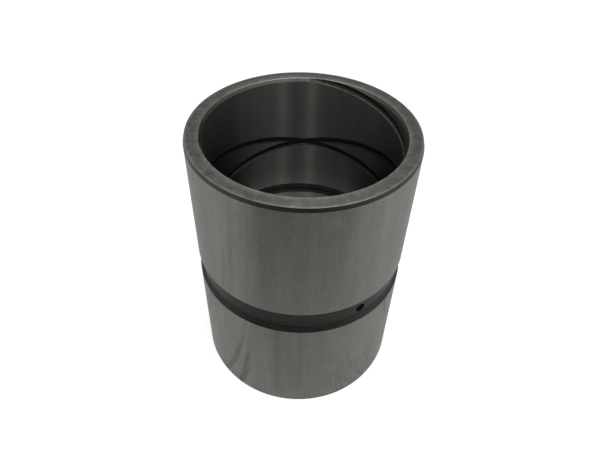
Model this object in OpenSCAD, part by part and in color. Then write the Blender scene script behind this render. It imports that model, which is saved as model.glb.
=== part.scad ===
// Grease lubricated pin bushing: a one-piece turned and ground steel sleeve.
// It stands on its lower face with its axis on Z and the origin at the centre of that face.
// A wide groove round the outside feeds grease through a radial hole into a ring groove
// in the bore, and from there two crossing helical grooves carry it to each end.

/* [Sleeve] */
// Diameter of the bore that the pin turns in
bore_d = 90; // [70:0.5:110]
// Thickness of the wall, out to the ground outside that presses into its housing
wall = 7.5; // [6:0.25:12]
// Length over both end faces
length = 140; // [110:1:200]

/* [End edges] */
// Length along the axis of the shallow lead-in taper at each end of the outside
lead_length = 2; // [1:0.1:5]
// Angle of that taper from the axis
lead_angle = 15; // [8:1:20]
// Length along the axis of the chamfer at each end of the bore
bore_chamfer_length = 1.6; // [1:0.1:3]
// Angle of the bore chamfer from the axis
bore_chamfer_angle = 30; // [20:1:40]
// Width of the small break between an end face and its chamfers
edge_break = 0.15; // [0.1:0.05:0.5]

/* [Outer groove] */
// Width of the outer groove at its lips
outer_groove_width = 13.5; // [10:0.5:20]
// Depth of the outer groove
outer_groove_depth = 1.5; // [0.8:0.1:2]
// How far each sloping wall of the outer groove runs along the axis
outer_groove_wall_run = 2.2; // [1:0.1:3]
// Shift of the outer groove and the grease hole from mid-length, up being positive
outer_groove_shift = -0.5; // [-1.5:0.1:1.5]

/* [Grease hole] */
// Diameter of the radial grease hole
hole_d = 5; // [3:0.1:6]
// Direction of the hole about the axis, from the X axis towards the Y axis
hole_angle = -55; // [-180:1:180]

/* [Bore grooves] */
// Width of the ring groove in the bore at its lips
ring_groove_width = 6.4; // [5:0.1:10]
// Depth of the ring groove in the bore
ring_groove_depth = 1.3; // [0.8:0.1:2]
// Width of each helical groove at its lips, square to its run
helix_groove_width = 3.7; // [3:0.1:5]
// Depth of each helical groove
helix_groove_depth = 1; // [0.6:0.1:1.4]
// Rise of the right-handed groove in one turn
right_pitch = 38.4; // [30:0.2:60]
// Rise of the left-handed groove in one turn
left_pitch = 53.2; // [30:0.2:80]
// Height above the ring groove, and depth below it, at which the helical grooves cross
crossing_height = 32.5; // [20:0.5:45]
// Direction of that crossing about the axis, from the X axis towards the Y axis
crossing_angle = 90; // [-180:1:180]

/* [Hidden] */
$fn = 180;
steel_colour = [0.5, 0.5, 0.48];
bore_r = bore_d / 2;
outer_r = bore_r + wall;
mid_z = length / 2;
outer_groove_z = mid_z + outer_groove_shift;
overrun = 2;
nose_overlap = 12;
steps_per_turn = 40;
section_steps = 8;

// Outline of the wall at the lower end, from the bore round the face to the outside
lower_end = [
    [bore_r, bore_chamfer_length],
    [bore_r + (bore_chamfer_length - edge_break) * tan(bore_chamfer_angle), edge_break],
    [bore_r + bore_chamfer_length * tan(bore_chamfer_angle) + edge_break, 0],
    [outer_r - lead_length * tan(lead_angle) - edge_break, 0],
    [outer_r - (lead_length - edge_break) * tan(lead_angle), edge_break],
    [outer_r, lead_length]
];

// Outline of the outer groove, from its lower lip to its upper lip
outer_groove = [
    [outer_r, outer_groove_z - outer_groove_width / 2],
    [outer_r - outer_groove_depth, outer_groove_z - outer_groove_width / 2 + outer_groove_wall_run],
    [outer_r - outer_groove_depth, outer_groove_z + outer_groove_width / 2 - outer_groove_wall_run],
    [outer_r, outer_groove_z + outer_groove_width / 2]
];

// The upper end mirrors the lower one
upper_end = [for (i = [len(lower_end) - 1 : -1 : 0]) [lower_end[i].x, length - lower_end[i].y]];

// Radius of the round tool that leaves a groove of this width and depth
function tool_radius(width, depth) = (width * width / 4 + depth * depth) / (2 * depth);

// Lead angle of a helix of this pitch on the bore
function helix_lead(pitch) = atan(pitch / (PI * bore_d));

// Half section through the wall, turned about the axis to make the sleeve
module wall_section() {
    ring_tool_r = tool_radius(ring_groove_width, ring_groove_depth);
    difference() {
        polygon(concat(lower_end, outer_groove, upper_end));
        translate([bore_r + ring_groove_depth - ring_tool_r, mid_z])
            circle(r = ring_tool_r);
    }
}

// Cutter that climbs a right-handed helix from the ring groove, at height 0, through the
// crossing height at angle 0 and out past the end face at height end_z. Its round nose leaves
// the groove, and its flat back stays in the open bore.
module helix_cutter(pitch, end_z) {
    tool_r = tool_radius(helix_groove_width, helix_groove_depth);
    centre_r = bore_r + helix_groove_depth - tool_r;
    lean = 1 / cos(helix_lead(pitch));
    nose = asin(helix_groove_width / 2 / tool_r) + nose_overlap;
    first_turn = -crossing_height / pitch;
    last_turn = (end_z + tool_r + overrun - crossing_height) / pitch;
    steps = ceil((last_turn - first_turn) * steps_per_turn);
    across = section_steps + 1;
    rings = [for (i = [0 : steps]) for (j = [0 : section_steps])
        let (turn = first_turn + i / steps_per_turn, swing = nose * (2 * j / section_steps - 1))
        let (r = centre_r + tool_r * cos(swing), rise = lean * tool_r * sin(swing))
        [r * cos(360 * turn), r * sin(360 * turn), crossing_height + pitch * turn + rise]];
    sides = [for (i = [0 : steps - 1]) for (j = [0 : section_steps])
        let (next = (j + 1) % across, a = i * across, b = a + across)
        each [[a + j, b + next, b + j], [a + j, a + next, b + next]]];
    start_cap = [for (j = [section_steps : -1 : 0]) j];
    end_cap = [for (j = [0 : section_steps]) steps * across + j];
    polyhedron(points = rings, faces = concat([start_cap], sides, [end_cap]));
}

// The two helical grooves of one half, which cross on their way to the end face at end_z
module crossing_grooves(end_z) {
    helix_cutter(right_pitch, end_z);
    mirror([0, 1, 0]) helix_cutter(left_pitch, end_z);
}

// The grooves of both halves, mirrored about the ring groove
module helical_grooves() {
    translate([0, 0, mid_z]) rotate([0, 0, crossing_angle]) {
        crossing_grooves(length - mid_z);
        mirror([0, 0, 1]) crossing_grooves(mid_z);
    }
}

// Radial hole from the floor of the outer groove to the ring groove in the bore
module grease_hole() {
    translate([0, 0, outer_groove_z]) rotate([0, 90, hole_angle])
        translate([0, 0, bore_r / 2]) cylinder(d = hole_d, h = outer_r);
}

// The turned sleeve with its helical grooves cut
module grooved_sleeve() {
    difference() {
        rotate_extrude() wall_section();
        helical_grooves();
    }
}

module bushing() {
    color(steel_colour) difference() {
        grooved_sleeve();
        grease_hole();
    }
}

bushing();
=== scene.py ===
"""A ground steel pin bushing standing on end on a pale floor, seen from above its front."""
import math

import bpy
from mathutils import Matrix, Vector


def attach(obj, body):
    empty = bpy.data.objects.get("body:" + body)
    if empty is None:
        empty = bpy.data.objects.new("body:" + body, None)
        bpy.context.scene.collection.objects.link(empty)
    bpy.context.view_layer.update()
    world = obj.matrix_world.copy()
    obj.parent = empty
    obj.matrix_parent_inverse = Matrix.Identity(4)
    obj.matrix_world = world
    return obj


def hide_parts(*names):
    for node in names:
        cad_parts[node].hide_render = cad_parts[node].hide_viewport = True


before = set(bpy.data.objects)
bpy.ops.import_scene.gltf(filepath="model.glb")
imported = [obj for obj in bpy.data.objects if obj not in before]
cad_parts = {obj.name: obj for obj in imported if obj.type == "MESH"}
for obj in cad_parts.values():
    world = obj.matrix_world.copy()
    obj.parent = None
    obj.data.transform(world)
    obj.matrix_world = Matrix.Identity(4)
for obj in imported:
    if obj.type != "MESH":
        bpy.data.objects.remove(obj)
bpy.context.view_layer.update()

MM = 0.001

# Sizes of the sleeve in millimetres and angles in degrees, the same as in its construction.
BORE_R = 45.0
OUTER_R = 52.5
LENGTH = 140.0
LEAD_LENGTH = 2.0
LEAD_ANGLE = 15
LEAD_TAN = math.tan(math.radians(LEAD_ANGLE))
CHAMFER_LENGTH = 1.6
CHAMFER_ANGLE = 30
CHAMFER_TAN = math.tan(math.radians(CHAMFER_ANGLE))
EDGE_BREAK = 0.15
MID_Z = LENGTH / 2
OUTER_GROOVE_SHIFT = -0.5
OUTER_GROOVE_Z = MID_Z + OUTER_GROOVE_SHIFT
OUTER_GROOVE_WIDTH = 13.5
OUTER_GROOVE_DEPTH = 1.5
OUTER_GROOVE_RUN = 2.2
OUTER_GROOVE_CORNER = OUTER_GROOVE_Z - OUTER_GROOVE_WIDTH / 2 + OUTER_GROOVE_RUN
RING_WIDTH = 6.4
RING_DEPTH = 1.3
HELIX_WIDTH = 3.7
HELIX_DEPTH = 1.0
RIGHT_PITCH = 38.4
LEFT_PITCH = 53.2
CROSSING_HEIGHT = 32.5
CROSSING_ANGLE = 90.0
HOLE_R = 2.5
HOLE_ANGLE = -55.0

# Steps once round a turned surface, a helix and the drill, and across the nose of each groove's tool.
TURN_STEPS = 240
HELIX_STEPS = 96
DRILL_STEPS = 48
RING_NOSE_STEPS = 12
HELIX_NOSE_STEPS = 14

# A helix cutter's run past the end face, how far its back reaches into the open bore, the width by which
# it breaks the groove's lips, and the length of the drill, all in millimetres. The break takes the last
# degrees of the nose.
OVERRUN = 5.0
CUTTER_BACK = 1.0
LIP = 0.12
LIP_DEGREES = 5.0
DRILL_LENGTH = 16.0

# Points nearer to each other than this, in metres, are one.
MERGE_DISTANCE = 1e-7
# Surfaces that meet at a smaller angle than this, in degrees, are shaded as one.
SMOOTH_ANGLE = 12


# Modelling

def deselect():
    """Leaves nothing selected and nothing active."""
    if bpy.context.object and bpy.context.object.mode != "OBJECT":
        bpy.ops.object.mode_set(mode="OBJECT")
    bpy.ops.object.select_all(action="DESELECT")
    bpy.context.view_layer.objects.active = None


def activate(piece):
    """Makes piece the only selected object, and the active one."""
    deselect()
    piece.select_set(True)
    bpy.context.view_layer.objects.active = piece


def apply_modifier(piece, kind, **settings):
    """Adds one modifier to piece and applies it."""
    activate(piece)
    modifier = piece.modifiers.new(kind.title(), kind)
    for key, value in settings.items():
        setattr(modifier, key, value)
    bpy.ops.object.modifier_apply(modifier=modifier.name)


def drawn_outline(name, points):
    """A closed outline in the XZ plane, drawn by extruding one vertex from point to point, in mm."""
    deselect()
    first = Vector((points[0][0], 0, points[0][1])) * MM
    # A small plane merged to its centre leaves the first vertex.
    bpy.ops.mesh.primitive_plane_add(size=0.01, location=first)
    piece = bpy.context.object
    piece.name = piece.data.name = name
    bpy.ops.object.transform_apply(location=True, rotation=True, scale=True)
    bpy.ops.object.mode_set(mode="EDIT")
    bpy.ops.mesh.select_all(action="SELECT")
    bpy.ops.mesh.merge(type="CENTER")
    for (r0, z0), (r1, z1) in zip(points, points[1:]):
        move = (MM * (r1 - r0), 0, MM * (z1 - z0))
        bpy.ops.mesh.extrude_region_move(TRANSFORM_OT_translate={"value": move})
    bpy.ops.object.mode_set(mode="OBJECT")
    for vertex in piece.data.vertices:
        vertex.select = vertex.index in (0, len(points) - 1)
    bpy.ops.object.mode_set(mode="EDIT")
    bpy.ops.mesh.edge_face_add()
    bpy.ops.object.mode_set(mode="OBJECT")
    return piece


def turned(name, points):
    """A closed outline of (radius, height) points turned once round the Z axis."""
    piece = drawn_outline(name, points)
    bpy.ops.object.mode_set(mode="EDIT")
    bpy.ops.mesh.select_all(action="SELECT")
    bpy.ops.mesh.spin(steps=TURN_STEPS, angle=2 * math.pi, center=(0, 0, 0), axis=(0, 0, 1))
    bpy.ops.mesh.select_all(action="SELECT")
    bpy.ops.mesh.remove_doubles(threshold=MERGE_DISTANCE)
    bpy.ops.mesh.normals_make_consistent(inside=False)
    bpy.ops.object.mode_set(mode="OBJECT")
    return piece


def tool_radius(width, depth):
    """Radius of the round tool that leaves a groove of this width and depth."""
    return (width * width / 4 + depth * depth) / (2 * depth)


def arc(centre, radius, first, last, steps):
    """Points on an arc about centre (radius, height), angles in degrees from the outward direction."""
    points = []
    for i in range(steps + 1):
        angle = math.radians(first + (last - first) * i / steps)
        points.append((centre[0] + radius * math.cos(angle), centre[1] + radius * math.sin(angle)))
    return points


def helix_cutter(name, pitch, hand, up):
    """
    Round-nosed cutter along a helix from the ring groove through the crossing and out past one end,
    with small flares that break the lips. hand is 1 or -1, and so is up, for the upper or lower half.
    """
    tool = tool_radius(HELIX_WIDTH, HELIX_DEPTH)
    centre = (BORE_R + HELIX_DEPTH - tool, 0)
    half = HELIX_WIDTH / 2
    nose = math.degrees(math.asin(half / tool)) - LIP_DEGREES
    lean = 1 / math.cos(math.atan(pitch / (2 * math.pi * BORE_R)))
    back_r = BORE_R - CUTTER_BACK
    back_half = half + LIP + CUTTER_BACK
    section = [(back_r, -back_half)] + arc(centre, tool, -nose, nose, HELIX_NOSE_STEPS)
    section += [(back_r, back_half)]
    piece = drawn_outline(name, [(r, lean * z) for r, z in section])
    rise = LENGTH - MID_Z + OVERRUN
    steps = round(HELIX_STEPS * rise / pitch)
    apply_modifier(piece, "SCREW", angle=2 * math.pi * rise / pitch, screw_offset=MM * rise, axis="Z",
                   steps=steps, render_steps=steps, use_merge_vertices=False, use_smooth_shade=False)
    bpy.ops.object.mode_set(mode="EDIT")
    bpy.ops.mesh.select_mode(type="EDGE")
    bpy.ops.mesh.select_all(action="DESELECT")
    bpy.ops.mesh.select_non_manifold()
    bpy.ops.mesh.edge_face_add()
    bpy.ops.mesh.select_mode(type="VERT")
    bpy.ops.object.mode_set(mode="OBJECT")
    piece.scale = (1, hand, up)
    piece.rotation_euler = (0, 0, math.radians(CROSSING_ANGLE - hand * 360 * CROSSING_HEIGHT / pitch))
    piece.location = (0, 0, MID_Z * MM)
    bpy.ops.object.transform_apply(location=True, rotation=True, scale=True)
    bpy.ops.object.mode_set(mode="EDIT")
    bpy.ops.mesh.select_all(action="SELECT")
    bpy.ops.mesh.normals_make_consistent(inside=False)
    bpy.ops.object.mode_set(mode="OBJECT")
    return piece


def hole_cutter(name):
    """Drill for the radial grease hole."""
    deselect()
    angle = math.radians(HOLE_ANGLE)
    reach = 0.5 * (BORE_R + OUTER_R) * MM
    bpy.ops.mesh.primitive_cylinder_add(
        vertices=DRILL_STEPS, radius=HOLE_R * MM, depth=DRILL_LENGTH * MM,
        location=(reach * math.cos(angle), reach * math.sin(angle), OUTER_GROOVE_Z * MM),
        rotation=(0, math.pi / 2, angle))
    piece = bpy.context.object
    piece.name = name
    bpy.ops.object.transform_apply(location=True, rotation=True, scale=True)
    return piece


def cut(piece, cutter):
    """Cuts cutter out of piece and deletes it."""
    apply_modifier(piece, "BOOLEAN", operation="DIFFERENCE", solver="EXACT", object=cutter)
    bpy.data.objects.remove(cutter)


def sleeve_outline():
    """The wall's section, from the bore round the lower face, up the outside and back down the bore."""
    lower = [
        (BORE_R, CHAMFER_LENGTH),
        (BORE_R + (CHAMFER_LENGTH - EDGE_BREAK) * CHAMFER_TAN, EDGE_BREAK),
        (BORE_R + CHAMFER_LENGTH * CHAMFER_TAN + EDGE_BREAK, 0),
        (OUTER_R - LEAD_LENGTH * LEAD_TAN - EDGE_BREAK, 0),
        (OUTER_R - (LEAD_LENGTH - EDGE_BREAK) * LEAD_TAN, EDGE_BREAK),
        (OUTER_R, LEAD_LENGTH),
    ]
    half = OUTER_GROOVE_WIDTH / 2
    groove = [
        (OUTER_R, OUTER_GROOVE_Z - half),
        (OUTER_R - OUTER_GROOVE_DEPTH, OUTER_GROOVE_Z - half + OUTER_GROOVE_RUN),
        (OUTER_R - OUTER_GROOVE_DEPTH, OUTER_GROOVE_Z + half - OUTER_GROOVE_RUN),
        (OUTER_R, OUTER_GROOVE_Z + half),
    ]
    upper = [(r, LENGTH - z) for r, z in reversed(lower)]
    tool = tool_radius(RING_WIDTH, RING_DEPTH)
    nose = math.degrees(math.asin(RING_WIDTH / 2 / tool))
    ring = arc((BORE_R + RING_DEPTH - tool, MID_Z), tool, nose, -nose, RING_NOSE_STEPS)
    return lower + groove + upper + ring


sleeve = turned("bushing_steel", sleeve_outline())
for up in (1, -1):
    cut(sleeve, helix_cutter("right_helix", RIGHT_PITCH, 1, up))
    cut(sleeve, helix_cutter("left_helix", LEFT_PITCH, -1, up))
cut(sleeve, hole_cutter("drill"))


# Materials

def linear(hex_colour):
    """An sRGB hex colour as linear RGBA."""
    values = [int(hex_colour[i:i + 2], 16) / 255 for i in (1, 3, 5)]
    return [v / 12.92 if v <= 0.04045 else ((v + 0.055) / 1.055) ** 2.4 for v in values] + [1.0]


def connect(tree, node, **inputs):
    """Gives node its inputs, by name or as i0, i1, ...: values, sockets or nodes (their first output)."""
    for key, value in inputs.items():
        if key[0] == "i" and key[1:].isdigit():
            socket = node.inputs[int(key[1:])]
        else:
            socket = next(s for s in node.inputs if s.name.lower() == key.replace("_", " "))
        if isinstance(value, bpy.types.Node):
            value = value.outputs[0]
        if isinstance(value, bpy.types.NodeSocket):
            tree.links.new(value, socket)
        else:
            socket.default_value = value


def add(tree, kind, settings=None, **inputs):
    """Adds a node. settings are its properties, and its inputs are given as connect takes them."""
    made = tree.nodes.new(kind)
    for key, value in (settings or {}).items():
        setattr(made, key, value)
    connect(tree, made, **inputs)
    return made


def new_steel(name, roughness, anisotropic=0.0, edge_tint="#ffffff"):
    """
    A new steel, whose scratches run round the axis. roughness is its mean, which finished varies. Returns
    the steel with its tree, its shader and the place on the sleeve in millimetres, from its own axes.
    """
    material = bpy.data.materials.new(name)
    material.use_nodes = True
    tree = material.node_tree
    shader = tree.nodes["Principled BSDF"]
    connect(tree, shader, metallic=1.0, roughness=roughness, specular_tint=linear(edge_tint))
    if anisotropic:
        # A quarter turn of the shine lays the scratches round the axis.
        round_axis = add(tree, "ShaderNodeTangent", {"direction_type": "RADIAL", "axis": "Z"})
        connect(tree, shader, anisotropic=anisotropic, anisotropic_rotation=0.25, tangent=round_axis)
    place = add(tree, "ShaderNodeTexCoord").outputs["Object"]
    place = add(tree, "ShaderNodeVectorMath", {"operation": "SCALE"}, vector=place, scale=1 / MM)
    return material, tree, shader, place


def angle_from_front(tree, place):
    """The angle about the axis in degrees, 0 at the front and positive to the right of it."""
    axes = add(tree, "ShaderNodeSeparateXYZ", vector=place)
    forward = add(tree, "ShaderNodeMath", {"operation": "MULTIPLY"}, i0=axes.outputs[1], i1=-1.0)
    angle = add(tree, "ShaderNodeMath", {"operation": "ARCTAN2"}, i0=axes.outputs[0], i1=forward)
    return add(tree, "ShaderNodeMath", {"operation": "DEGREES"}, i0=angle)


def from_axis(tree, place):
    """The distance from the axis in millimetres."""
    axes = add(tree, "ShaderNodeSeparateXYZ", vector=place)
    flat = add(tree, "ShaderNodeCombineXYZ", x=axes.outputs[0], y=axes.outputs[1])
    return add(tree, "ShaderNodeVectorMath", {"operation": "LENGTH"}, vector=flat).outputs["Value"]


def apart(tree, value, middle):
    """How far value is from middle, either way."""
    gap = add(tree, "ShaderNodeMath", {"operation": "SUBTRACT"}, i0=value, i1=middle)
    return add(tree, "ShaderNodeMath", {"operation": "ABSOLUTE"}, i0=gap)


def mottle(tree, place, spread, low, high, detail=3.0):
    """Random patches between the levels low and high. spread is their size in mm along X, Y and Z."""
    scaled = add(tree, "ShaderNodeVectorMath", {"operation": "DIVIDE"}, i0=place, i1=spread)
    noise = add(tree, "ShaderNodeTexNoise", vector=scaled, scale=1.0, detail=detail, roughness=0.6)
    # The noise seldom leaves 0.3 to 0.7.
    return add(tree, "ShaderNodeMapRange", value=noise, from_min=0.3, from_max=0.7, to_min=low, to_max=high)


def level(tree, *parts):
    """
    The product of parts. Each is a number, a socket, a node, or (value, low, high, first, last) for a
    smooth change from first to last while value goes from low to high.
    """
    total = None
    for part in parts:
        if isinstance(part, tuple):
            value, low, high, first, last = part
            part = add(tree, "ShaderNodeMapRange", {"interpolation_type": "SMOOTHSTEP"}, value=value,
                       from_min=low, from_max=high, to_min=first, to_max=last)
        if total is not None:
            part = add(tree, "ShaderNodeMath", {"operation": "MULTIPLY"}, i0=total, i1=part)
        total = part
    return total


def shaded(tree, colour, *levels):
    """colour, linear or from a node, made lighter or darker by the product of levels."""
    start = colour[:3] if isinstance(colour, list) else colour
    factor = level(tree, *levels)
    return add(tree, "ShaderNodeVectorMath", {"operation": "SCALE"}, vector=start, scale=factor)


def finished(tree, shader, colour, pattern, span, roughness, relief=None, depth=0.0):
    """
    Gives shader its colour, a roughness that goes over the pair roughness while pattern goes over the pair
    span, and a relief that is depth mm from its lowest to its highest.
    """
    rough = add(tree, "ShaderNodeMapRange", value=pattern, from_min=span[0], from_max=span[1],
                to_min=roughness[0], to_max=roughness[1])
    connect(tree, shader, base_color=colour, roughness=rough)
    if relief:
        bump = add(tree, "ShaderNodeBump", strength=1.0, distance=depth * MM, height=relief)
        connect(tree, shader, normal=bump)


# How much runs of oil spread apart at the foot, and the height in mm over which that dies away.
FLARE = 1.2
FLARE_HEIGHT = 42.0


def foot_angle(tree, angle, height):
    """
    The angle at which a run of oil through this place meets the foot. Runs come nearly straight down the
    upper half and spread apart near the foot.
    """
    sunk = add(tree, "ShaderNodeMath", {"operation": "DIVIDE"}, i0=height, i1=-FLARE_HEIGHT)
    near = add(tree, "ShaderNodeMath", {"operation": "EXPONENT"}, i0=sunk)
    spread = add(tree, "ShaderNodeMath", {"operation": "MULTIPLY_ADD"}, i0=near, i1=FLARE, i2=1.0)
    straight = add(tree, "ShaderNodeMath", {"operation": "DIVIDE"}, i0=angle, i1=spread)
    return add(tree, "ShaderNodeMath", {"operation": "MULTIPLY"}, i0=straight, i1=1 + FLARE)


# Runs of oil on the outside: the angle from the front at which each meets the foot, in degrees, its
# drift from there in degrees for each mm of height, the heights between which it shows, its half width
# at the foot in degrees, and how strongly it covers.
OIL_RUNS = [
    (-48.4, 0.0, 0, 58, 1.5, 0.56),
    (-50.2, 0.0, 0, 50, 3.2, 0.42),
    (-49.0, 0.0, 0, 84, 2.2, 0.26),
    (-49.4, 0.0, -10, 150, 4.0, 0.12),
    (-37.2, -0.13, 0, 46, 1.5, 0.56),
    (-35.6, -0.13, 0, 46, 3.2, 0.42),
    (-36.6, -0.13, 0, 62, 2.2, 0.2),
    (-49.8, 0.0, -2, 20, 4.0, 0.45),
    (-49.8, 0.0, -2, 6, 2.6, 1.0),
    (-36.6, 0.0, -2, 26, 4.0, 0.5),
    (-36.6, 0.0, -2, 6, 2.6, 1.0),
    (-54.5, 0.0, -2, 9, 0.9, 0.9),
    (-44.5, 0.0, 0, 8, 0.7, 0.42),
    (-68.0, 0.0, 66, 150, 4.5, 0.15),
    (-78.0, 0.0, 72, 112, 4.0, 0.2),
    (-98.0, 0.0, 38, 66, 5.0, 0.38),
    (21.5, 0.0, 8, 22, 0.7, 0.3),
    (24.5, 0.0, 6, 26, 0.6, 0.38),
    (27.5, 0.0, 2, 16, 0.6, 0.42),
    (31.0, 0.0, 2, 24, 0.7, 0.64),
    (34.0, 0.0, 8, 24, 0.5, 0.38),
    (36.5, 0.0, 6, 32, 0.6, 0.42),
    (39.5, 0.0, 10, 28, 0.5, 0.34),
    (43.5, 0.0, 18, 44, 0.7, 0.51),
    (46.5, 0.0, 6, 26, 0.8, 0.42),
    (49.5, 0.0, 24, 42, 0.6, 0.38),
    (52.0, 0.0, 10, 38, 0.6, 0.42),
    (57.5, 0.0, 14, 36, 0.8, 0.51),
    (63.0, 0.0, 20, 44, 0.7, 0.42),
    (69.0, 0.0, 26, 48, 0.8, 0.42),
    (94.0, 0.0, 46, 74, 3.2, 0.6),
]

# Soft bands of thin oil that run straight down, and a brown stain near the top, in the same terms.
OIL_BANDS = [
    (-10.0, 0.0, 11, 90, 4.2, 0.17),
    (1.5, 0.0, 11, 90, 3.4, 0.16),
    (-4.0, 0.0, 9, 80, 10.0, 0.1),
]
STAIN = [(91.6, -0.54, 128, 146, 0.7, 0.2)]

# A run comes in from a little below its lower height to a little above it, in mm, and begins to fade at
# this share of its way up.
COMES_IN_BELOW = 4
COMES_IN_ABOVE = 2
FADES_FROM = 0.6


def oil_cover(tree, across, height, runs):
    """How strongly runs of oil cover a place that lies at the angle across and at this height."""
    cover = 0.0
    for at, drift, low, high, width, strength in runs:
        path = add(tree, "ShaderNodeMath", {"operation": "MULTIPLY_ADD"}, i0=height, i1=drift, i2=at)
        run = level(tree, (apart(tree, across, path), 0, width, strength, 0),
                    (height, low + FADES_FROM * (high - low), high, 1, 0),
                    (height, low - COMES_IN_BELOW, low + COMES_IN_ABOVE, 0, 1))
        cover = add(tree, "ShaderNodeMath", {"operation": "MAXIMUM"}, i0=cover, i1=run)
    return cover


# The middle and the half size of a rubbed patch near the top of the outside, each as an angle from the
# front in degrees and a height in mm.
PATCH = (15.5, 132.0, 0.0)
PATCH_HALF = (7.0, 6.0, 1.0)


def ground_outside():
    """
    Hardened steel, ground round the axis: a warm satin grey whose highlights are drawn out along the axis,
    with cool bands and thin runs of preserving oil, near the top a rubbed patch and a short brown stain,
    and a painted reflection of the floor that makes the front paler towards its foot.
    """
    material, tree, shader, place = new_steel("ground_bearing_steel", 0.42, 0.8, "#f6f6f6")
    angle = angle_from_front(tree, place)
    height = add(tree, "ShaderNodeSeparateXYZ", vector=place).outputs[2]
    turned_away = apart(tree, angle, 0.0)

    # Painted reflection of the floor: the front is palest at its foot and darker above, and the sides are
    # even.
    front_painted_light = add(tree, "ShaderNodeMapRange", value=height, from_min=0, from_max=LENGTH, to_min=1.54,
                to_max=0.82)
    aside = level(tree, (turned_away, 8, 52, 0, 1))
    painted_reflection = add(tree, "ShaderNodeMix", {"data_type": "FLOAT"}, i0=aside, i2=front_painted_light, i3=1.09)
    bands = mottle(tree, place, (8, 8, 150), 0.92, 1.08)
    wipes = mottle(tree, place, (1.6, 1.6, 45), 0.95, 1.05)
    clouds = mottle(tree, place, (10, 10, 14), 0.95, 1.05)
    # The marks of a grinding wheel's grit are about 0.05 mm wide, too fine to show, so these and the lines
    # below are drawn about 0.5 mm wide.
    rings = mottle(tree, place, (3, 3, 0.5), 0.95, 1.05, detail=1.0)
    grain = mottle(tree, place, (0.5, 0.5, 0.5), 0.84, 1.16, detail=1.0)
    # A patch is rubbed a little brighter, most in its middle.
    unrolled = add(tree, "ShaderNodeCombineXYZ", x=angle, y=height)
    from_patch = add(tree, "ShaderNodeVectorMath", {"operation": "SUBTRACT"}, i0=unrolled, i1=PATCH)
    from_patch = add(tree, "ShaderNodeVectorMath", {"operation": "DIVIDE"}, i0=from_patch, i1=PATCH_HALF)
    reach = add(tree, "ShaderNodeVectorMath", {"operation": "LENGTH"}, i0=from_patch).outputs["Value"]
    brightened = (reach, 0.3, 1.0, 1.1, 1.0)
    # Right of the front's middle a strip is wiped a little brighter from half-way up.
    strip = level(tree, (apart(tree, angle, 14.0), 5, 12, 0.08, 0), (height, 30, 80, 0, 1))
    wipe_and_painted_light = add(tree, "ShaderNodeMath", {"operation": "ADD"}, i0=strip, i1=1.0)
    coolness = mottle(tree, place, (5, 5, 90), 0, 1, detail=2.0)
    tone = add(tree, "ShaderNodeMix", {"data_type": "RGBA"}, i0=coolness, i6=linear("#53524d"),
               i7=linear("#50504e")).outputs[2]
    steel = shaded(tree, tone, bands, wipes, clouds, rings, grain, painted_reflection, brightened, wipe_and_painted_light)
    steel = add(tree, "ShaderNodeMix", {"data_type": "RGBA"}, i0=oil_cover(tree, angle, height, STAIN),
                i6=steel, i7=linear("#33291f")).outputs[2]

    # Thin oil in fine streaks between the runs, at the right of the foot.
    foot = foot_angle(tree, angle, height)
    flared = add(tree, "ShaderNodeCombineXYZ", x=foot, y=0.0, z=height)
    fine = level(tree, mottle(tree, flared, (1.0, 1.0, 16.0), -0.65, 0.65, detail=2.0),
                 (height, 14, 50, 1, 0), (foot, 16, 34, 0, 1), (turned_away, 48, 64, 1, 0))
    cover = oil_cover(tree, foot, height, OIL_RUNS)
    for oil in (fine, oil_cover(tree, angle, height, OIL_BANDS)):
        cover = add(tree, "ShaderNodeMath", {"operation": "MAXIMUM"}, i0=cover, i1=oil)
    oiled = add(tree, "ShaderNodeMix", {"data_type": "RGBA"}, i0=cover, i6=steel, i7=linear("#25272d"))

    lines = mottle(tree, place, (30, 30, 0.45), 0, 1, detail=2.0)
    finished(tree, shader, oiled.outputs[2], lines, (0, 1), (0.4, 0.44), lines, 0.0003)
    return material


def ground_face():
    """Hardened steel, ground across the end: a light matt grey, clouded by handling, with small pits."""
    material, tree, shader, place = new_steel("ground_end_face", 0.42, 0.7, "#b0b0b0")
    radius = from_axis(tree, place)
    turned_away = apart(tree, angle_from_front(tree, place), 0.0)
    cloudy = (0.76, 1.24)
    clouds = mottle(tree, place, (4.5, 4.5, 4.5), *cloudy, detail=4.0)
    specks = mottle(tree, place, (0.9, 0.9, 0.9), 0.86, 1.14, detail=2.0)
    # Grinding rings are under 0.1 mm apart, and are drawn 0.8 mm apart so that they show.
    ringed = add(tree, "ShaderNodeCombineXYZ", x=0.0, y=radius, z=0.0)
    rings = mottle(tree, ringed, (1, 0.8, 1), 0.97, 1.03)
    # Brighter towards the bore, and a painted highlight along the outer edge.
    brightened = (radius, BORE_R + 1, BORE_R + 3.8, 1.2, 0.9)
    painted_rim_highlight = (radius, OUTER_R - 1.6, OUTER_R - 1.0, 1.0, 1.5)
    # Painted shade: the back is darker towards the outside. A painted highlight follows the bore at the
    # front.
    back_painted_light = add(tree, "ShaderNodeMix", {"data_type": "FLOAT"}, i0=level(tree, (turned_away, 115, 155, 0, 1)),
               i2=1.0, i3=level(tree, (radius, BORE_R + 2, OUTER_R - 2, 1.12, 0.86)))
    painted_bore_highlight = add(tree, "ShaderNodeMix", {"data_type": "FLOAT"}, i0=level(tree, (turned_away, 42, 66, 0, 1)),
              i2=level(tree, (radius, BORE_R + 1.15, BORE_R + 1.6, 1.35, 1)), i3=1.0)
    # Pits about half a millimetre across, 4 to 5 mm apart.
    scattered = add(tree, "ShaderNodeTexVoronoi", {"feature": "F1"}, vector=place, scale=0.22)
    pits = (scattered, 0.03, 0.09, 0.45, 1)
    steel = shaded(tree, linear("#5f5f5c"), clouds, specks, rings, brightened, painted_rim_highlight, back_painted_light, painted_bore_highlight, pits)
    finished(tree, shader, steel, clouds, cloudy, (0.5, 0.4), rings, 0.001)
    return material


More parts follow.
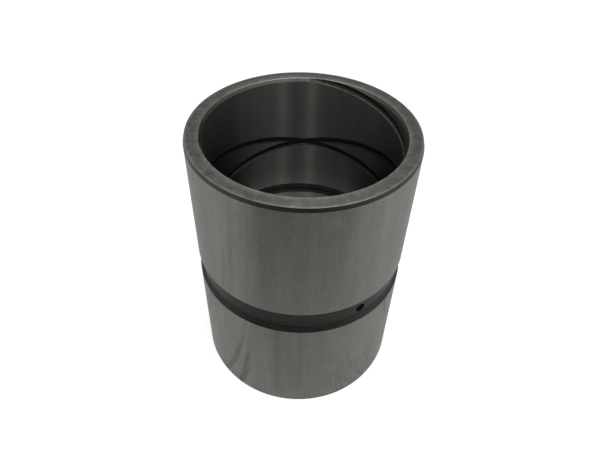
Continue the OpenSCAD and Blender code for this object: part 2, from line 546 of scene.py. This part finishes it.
def hardened_skin(name, colour, corner=0.0, left_painted_light=1.0):
    """
    The brown-black skin of hardening, left on where nothing was ground: dull and dark, faintly turned, and
    blackest in a corner at the height given, which is painted shade. smeared is a painted light level at
    the left of the front, lighter above 1 and darker below.
    """
    material, tree, shader, place = new_steel(name, 0.5, 0.3)
    height = add(tree, "ShaderNodeSeparateXYZ", vector=place).outputs[2]
    clouds = mottle(tree, place, (4, 4, 1.5), 0.88, 1.12)
    # The skin's grain and its turned lines are about 0.1 mm wide, and are drawn coarser so that they show.
    grain = mottle(tree, place, (0.6, 0.6, 0.6), 0.93, 1.07, detail=1.0)
    # Painted shade, darkest in the corner at the height given.
    painted_corner_shade = (height, corner, corner + 1.2, 0.45, 1)
    # Painted light at the left of the front: brighter on the lead-in, painted shade in the outer groove.
    wipe_and_painted_light = (apart(tree, angle_from_front(tree, place), -38.0), 8, 36, left_painted_light, 1)
    skin = shaded(tree, linear(colour), clouds, grain, painted_corner_shade, wipe_and_painted_light)
    lines = mottle(tree, place, (30, 30, 0.4), 0, 1, detail=2.0)
    finished(tree, shader, skin, lines, (0, 1), (0.46, 0.56), lines, 0.002)
    return material


def turned_chamfer():
    """The bore's chamfer, turned before hardening and wiped bright: a duller grey with fine lines."""
    material, tree, shader, place = new_steel("turned_chamfer", 0.45, 0.5, "#909090")
    clouds = mottle(tree, place, (5, 5, 5), 0.9, 1.1)
    # The turned lines are 0.1 mm apart, and are drawn three times as far apart so that they show.
    grain = mottle(tree, place, (0.6, 0.6, 0.6), 0.93, 1.07, detail=1.0)
    steel = shaded(tree, linear("#4a4a47"), clouds, grain)
    lines = mottle(tree, place, (30, 30, 0.3), 0, 1, detail=2.0)
    finished(tree, shader, steel, lines, (0, 1), (0.4, 0.5), lines, 0.002)
    return material


# The score in the bore: the height in mm that it would have straight in front, its climb in mm for each
# degree to the right, and how far from its middle, in mm, it begins and ends to fade.
SCORE_HEIGHT = 142.5
SCORE_CLIMB = 0.12
SCORE_FADE = (0.1, 0.5)


def honed_bore():
    """
    Honed round the axis: it mirrors the light above as soft streaks that run down the bore, and is paler
    below with a painted reflection of the floor under its open end. A pin has left one faint light score
    near the top.
    """
    material, tree, shader, place = new_steel("honed_bore", 0.36, 1.0, "#989898")
    angle = angle_from_front(tree, place)
    height = add(tree, "ShaderNodeSeparateXYZ", vector=place).outputs[2]
    streaks = mottle(tree, place, (2.2, 2.2, 120), 0.95, 1.05)
    clouds = mottle(tree, place, (9, 9, 14), 0.95, 1.05)
    # A hone's scratches are about 0.02 mm wide, too fine to show, so the grain and the lines are coarser.
    grain = mottle(tree, place, (0.5, 0.5, 0.5), 0.86, 1.14, detail=1.0)
    # Painted reflection: paler deep in the bore, as if it mirrored the floor through the lower opening.
    painted_floor_reflection = (height, MID_Z - 12, MID_Z + 17, 2.1, 1)
    path = add(tree, "ShaderNodeMath", {"operation": "MULTIPLY_ADD"}, i0=angle, i1=SCORE_CLIMB,
               i2=SCORE_HEIGHT)
    score = level(tree, (apart(tree, height, path), *SCORE_FADE, 0.2, 0), (angle, -173, -168, 0, 1),
                  (angle, -148, -136, 1, 0))
    scored = add(tree, "ShaderNodeMath", {"operation": "ADD"}, i0=score, i1=1.0)
    steel = shaded(tree, linear("#51514e"), streaks, clouds, grain, painted_floor_reflection, scored)
    lines = mottle(tree, place, (24, 24, 0.35), 0, 1, detail=2.0)
    finished(tree, shader, steel, lines, (0, 1), (0.35, 0.37), lines, 0.0004)
    return material


def groove_skin(name, up_side_painted_shade=1.0):
    """
    The cut grease grooves, dark with hardening skin and old grease: nearly black, without lustre, the ring
    groove a little greyer than the helical ones, with painted shade deeper in the drilled hole. greased is
    a painted shade level for the helical ones in the middle of each half.
    """
    material, tree, shader, place = new_steel(name, 0.6, edge_tint="#808080")
    height = add(tree, "ShaderNodeSeparateXYZ", vector=place).outputs[2]
    from_ring = apart(tree, height, MID_Z)
    cloudy = (0.85, 1.15)
    clouds = mottle(tree, place, (2.5, 2.5, 2.5), *cloudy)
    ring = (from_ring, 4, 12, 1.5, 1)
    # Painted shade, darker deeper in the drilled hole.
    painted_hole_shade = (from_axis(tree, place), BORE_R + RING_DEPTH, BORE_R + 2.5, 1, 0.6)
    # Painted shade on the helical grooves in the middle of each half.
    middle_painted_shade = (from_ring, 44, 56, up_side_painted_shade, 1)
    skin = shaded(tree, linear("#2f2e2c"), clouds, ring, painted_hole_shade, middle_painted_shade)
    finished(tree, shader, skin, clouds, cloudy, (0.66, 0.52), clouds, 0.01)
    return material


def stoned_edge_and_painted_highlight(name, colour, roughness=0.4, front_painted_light=1.0, side_painted_light=1.0, back_painted_light=1.0):
    """
    An edge rubbed bright with a stone: a thin light line, partly its own polish and partly a painted
    highlight, broken here and there. front, side and back are painted light levels round the sleeve.
    """
    material, tree, shader, place = new_steel(name, roughness, edge_tint="#f0f0f0")
    turned_away = apart(tree, angle_from_front(tree, place), 0.0)
    broken = (0.7, 1.15)
    breaks = mottle(tree, place, (1.6, 1.6, 1.6), *broken)
    # Painted highlight and painted shade round the sleeve, set by front, side and back.
    steel = shaded(tree, linear(colour), breaks, (turned_away, 42, 66, front_painted_light, side_painted_light),
                   (turned_away, 112, 176, 1, back_painted_light))
    finished(tree, shader, steel, breaks, broken, (roughness + 0.08, roughness - 0.04))
    return material


def groove_lip():
    """The lips of the grease grooves: as dull as the grooves, with painted shade deep in the bore and a
    painted highlight where they run out.
    """
    material, tree, shader, place = new_steel("groove_lip_and_painted_highlight", 0.4, edge_tint="#b0b0b0")
    height = add(tree, "ShaderNodeSeparateXYZ", vector=place).outputs[2]
    broken = (0.6, 1.4)
    breaks = mottle(tree, place, (1.2, 1.2, 1.2), *broken)
    # Painted shade towards the middle of the bore and a painted highlight towards the ends.
    steel = shaded(tree, linear("#2b2b29"), breaks, (apart(tree, height, MID_Z), 48, 64, 0.55, 2.6))
    finished(tree, shader, steel, breaks, broken, (0.46, 0.36))
    return material


SURFACES = {
    "ground": ground_outside(),
    "face": ground_face(),
    # The lead-in and the outer groove get painted shade in a corner and painted light at the left of the
    # front.
    "lead": hardened_skin("lead_in_skin", "#201f1d", corner=0.9, left_painted_light=1.12),
    "floor": hardened_skin("outer_groove_skin", "#222221", corner=OUTER_GROOVE_CORNER, left_painted_light=0.66),
    # The outer groove's wall is the floor's skin made darker, as painted shade.
    "wall": hardened_skin("outer_groove_wall_skin", "#1c1d1b", left_painted_light=0.8),
    "chamfer": turned_chamfer(),
    "bore": honed_bore(),
    "oilway": groove_skin("grease_groove_skin"),
    # The upward sides of the helical grooves take the same skin with painted shade.
    "up_side_painted_shade": groove_skin("groove_skin_up_side_painted_shade", up_side_painted_shade=0.5),
    "outer_edge": stoned_edge_and_painted_highlight("stoned_edge", "#666662"),
    # Painted highlight along the bore's edge at the front and the back, painted shade at the sides.
    "bore_edge": stoned_edge_and_painted_highlight("stoned_bore_edge_painted_highlight", "#80807c", roughness=0.3, front_painted_light=1.8, side_painted_light=0.62, back_painted_light=3.1),
    "lip": groove_lip(),
}

# The radius in mm beyond which a face is on the outside.
OUTSIDE_R = 50.0
# The distance in mm within which a face is part of the end face, the ground outside or the bore.
NEAR_END = 0.01
NEAR_OUTSIDE = 0.05
NEAR_BORE = 0.02
# The least share of a face's direction that points away from the axis or to it, on a cylinder and on a
# broken edge.
STRAIGHT_OUT = 0.99
PARTLY_OUT = 0.5
# The share of a face's direction that is along the axis: at most this on a broken edge in the bore, and
# between these on the bore's chamfer, on a groove's broken lip and on the lower side of a helical groove.
EDGE_RISE = 0.95
CHAMFER_RISE = (0.45, 0.55)
LIP_RISE = (0.6, 0.8)
LOWER_SIDE_RISE = (0.1, 0.6)


def within(value, limits):
    """Whether value lies between the two limits."""
    return limits[0] < value < limits[1]


def surface_of(centre, normal):
    """Which surface of the sleeve a face belongs to, from its place in mm and its direction."""
    radius = math.hypot(centre.x, centre.y)
    from_end = min(centre.z, LENGTH - centre.z)
    outward = (normal.x * centre.x + normal.y * centre.y) / radius
    rise = abs(normal.z)
    outside = radius > OUTSIDE_R
    if from_end < NEAR_END:
        return "face"
    if from_end < EDGE_BREAK and (outward > PARTLY_OUT or rise < EDGE_RISE and outward < -PARTLY_OUT):
        return "outer_edge" if outside else "bore_edge"
    if outside and outward > 0:
        if from_end < LEAD_LENGTH:
            return "lead"
        if radius > OUTER_R - NEAR_OUTSIDE:
            return "ground"
        return "floor" if outward > STRAIGHT_OUT else "wall"
    if from_end < CHAMFER_LENGTH and within(rise, CHAMFER_RISE):
        return "chamfer"
    if radius < BORE_R + NEAR_BORE and outward < -STRAIGHT_OUT:
        return "bore"
    if radius < BORE_R + 2 * LIP and within(rise, LIP_RISE):
        return "lip"
    # The helical grooves' lower sides, which face up, take the skin with painted shade.
    if abs(centre.z - MID_Z) > RING_WIDTH and within(normal.z, LOWER_SIDE_RISE):
        return "up_side_painted_shade"
    return "oilway"


names = list(SURFACES)
for name in names:
    sleeve.data.materials.append(SURFACES[name])
for face in sleeve.data.polygons:
    face.material_index = names.index(surface_of(face.center / MM, face.normal))

activate(sleeve)
bpy.ops.object.shade_smooth_by_angle(angle=math.radians(SMOOTH_ANGLE))
apply_modifier(sleeve, "WEIGHTED_NORMAL", mode="FACE_AREA", weight=100, keep_sharp=True)

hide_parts("bushing")
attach(sleeve, "root")


# Floor, light and camera

def seen_by_camera(tree):
    """1 for a ray from the camera, also by way of metal or glass, and 0 for one that lights the sleeve."""
    paths = add(tree, "ShaderNodeLightPath")
    seen = add(tree, "ShaderNodeMath", {"operation": "MAXIMUM"}, i0=paths.outputs["Is Camera Ray"],
               i1=paths.outputs["Is Glossy Ray"])
    return add(tree, "ShaderNodeMath", {"operation": "MAXIMUM"}, i0=seen,
               i1=paths.outputs["Is Transmission Ray"])


# The floor lights the sleeve as pale paper does. To the camera it is white, with the sleeve's shadow.
deselect()
bpy.ops.mesh.primitive_plane_add(size=8, location=(0, 0, 0))
floor = bpy.context.object
floor.name = "floor"
floor_material = bpy.data.materials.new("floor_paper")
floor_material.use_nodes = True
tree = floor_material.node_tree
tree.nodes.clear()
paper = add(tree, "ShaderNodeBsdfDiffuse", color=(0.8, 0.8, 0.8, 1))
shadowed = add(tree, "ShaderNodeBsdfDiffuse", color=(0.3, 0.3, 0.3, 1))
glow = add(tree, "ShaderNodeEmission", color=(1, 1, 1, 1), strength=0.8)
both = add(tree, "ShaderNodeAddShader", i0=shadowed, i1=glow)
mixed = add(tree, "ShaderNodeMixShader", i0=seen_by_camera(tree), i1=paper, i2=both)
add(tree, "ShaderNodeOutputMaterial", surface=mixed)
floor.data.materials.append(floor_material)

# The room lights the sleeve softly from all round. To the camera it is white.
world = bpy.data.worlds.new("studio")
bpy.context.scene.world = world
world.use_nodes = True
tree = world.node_tree
tree.nodes.clear()
soft = add(tree, "ShaderNodeBackground", color=(1, 1, 1, 1), strength=0.55)
white = add(tree, "ShaderNodeBackground", color=(1, 1, 1, 1), strength=1.0)
mixed = add(tree, "ShaderNodeMixShader", i0=seen_by_camera(tree), i1=soft, i2=white)
add(tree, "ShaderNodeOutputWorld", surface=mixed)


def soft_lamp(name, azimuth, elevation, distance, width, height, watts):
    """
    A rectangular area lamp that points at the middle of the sleeve. azimuth and elevation are in degrees,
    azimuth from X towards Y, and the rest is in metres.
    """
    data = bpy.data.lights.new(name, "AREA")
    data.shape = "RECTANGLE"
    data.size = width
    data.size_y = height
    data.energy = watts
    lamp = bpy.data.objects.new(name, data)
    around = math.radians(azimuth)
    up = math.radians(elevation)
    aim = Vector((0, 0, MID_Z * MM))
    away = Vector((math.cos(around) * math.cos(up), math.sin(around) * math.cos(up), math.sin(up)))
    lamp.location = aim + away * distance
    lamp.rotation_euler = (-away).to_track_quat("-Z", "Y").to_euler()
    bpy.context.scene.collection.objects.link(lamp)


# The strips give the two bright streaks down the bore.
soft_lamp("right_strip", -61, 46, 1.3, 0.05, 0.5, 2.35)
soft_lamp("left_strip", -99, 46, 1.3, 0.05, 0.5, 2.2)
soft_lamp("right_softbox", -22, 50, 1.3, 0.8, 0.5, 2.8)
soft_lamp("left_softbox", -180, 50, 1.3, 0.8, 0.5, 1.0)
soft_lamp("back_softbox", 88, 70, 1.3, 0.4, 0.3, 1.0)
# The panels stand below the rim, so that they light the outside and not the bore.
soft_lamp("left_panel", -150, 0, 0.7, 0.45, 0.12, 1.72)
soft_lamp("left_side_panel", -178, 0, 0.7, 0.45, 0.12, 0.9)
soft_lamp("right_panel", -30, 0, 0.7, 0.45, 0.12, 1.8)
soft_lamp("right_side_panel", -2, 0, 0.7, 0.45, 0.12, 1.1)

# The camera's place behind the front and above the floor, in mm, its angles in radians, and its focal
# length in pixels of the picture, with the picture's width.
CAMERA_BACK = 3.75443 * OUTER_R
CAMERA_UP = 5.12570 * OUTER_R
PITCH = 0.758928
YAW = -0.002215
ROLL = -0.031801
FOCAL_PIXELS = 530.53
PICTURE_WIDTH = 600
SENSOR_WIDTH = 36.0

ahead = Vector((math.sin(YAW) * math.cos(PITCH), math.cos(YAW) * math.cos(PITCH), -math.sin(PITCH)))
sideways = Vector((math.cos(YAW), -math.sin(YAW), 0))
down = ahead.cross(sideways)
right = math.cos(ROLL) * sideways + math.sin(ROLL) * down
under = -math.sin(ROLL) * sideways + math.cos(ROLL) * down
turn = Matrix((right, -under, -ahead)).transposed().to_4x4()
lens = bpy.data.cameras.new("camera")
lens.sensor_width = SENSOR_WIDTH
lens.lens = FOCAL_PIXELS / PICTURE_WIDTH * SENSOR_WIDTH
lens.clip_start = 0.01
camera = bpy.data.objects.new("camera", lens)
camera.matrix_world = Matrix.Translation((0, -CAMERA_BACK * MM, CAMERA_UP * MM)) @ turn
bpy.context.scene.collection.objects.link(camera)
bpy.context.scene.camera = camera
bpy.context.scene.view_settings.view_transform = "Standard"
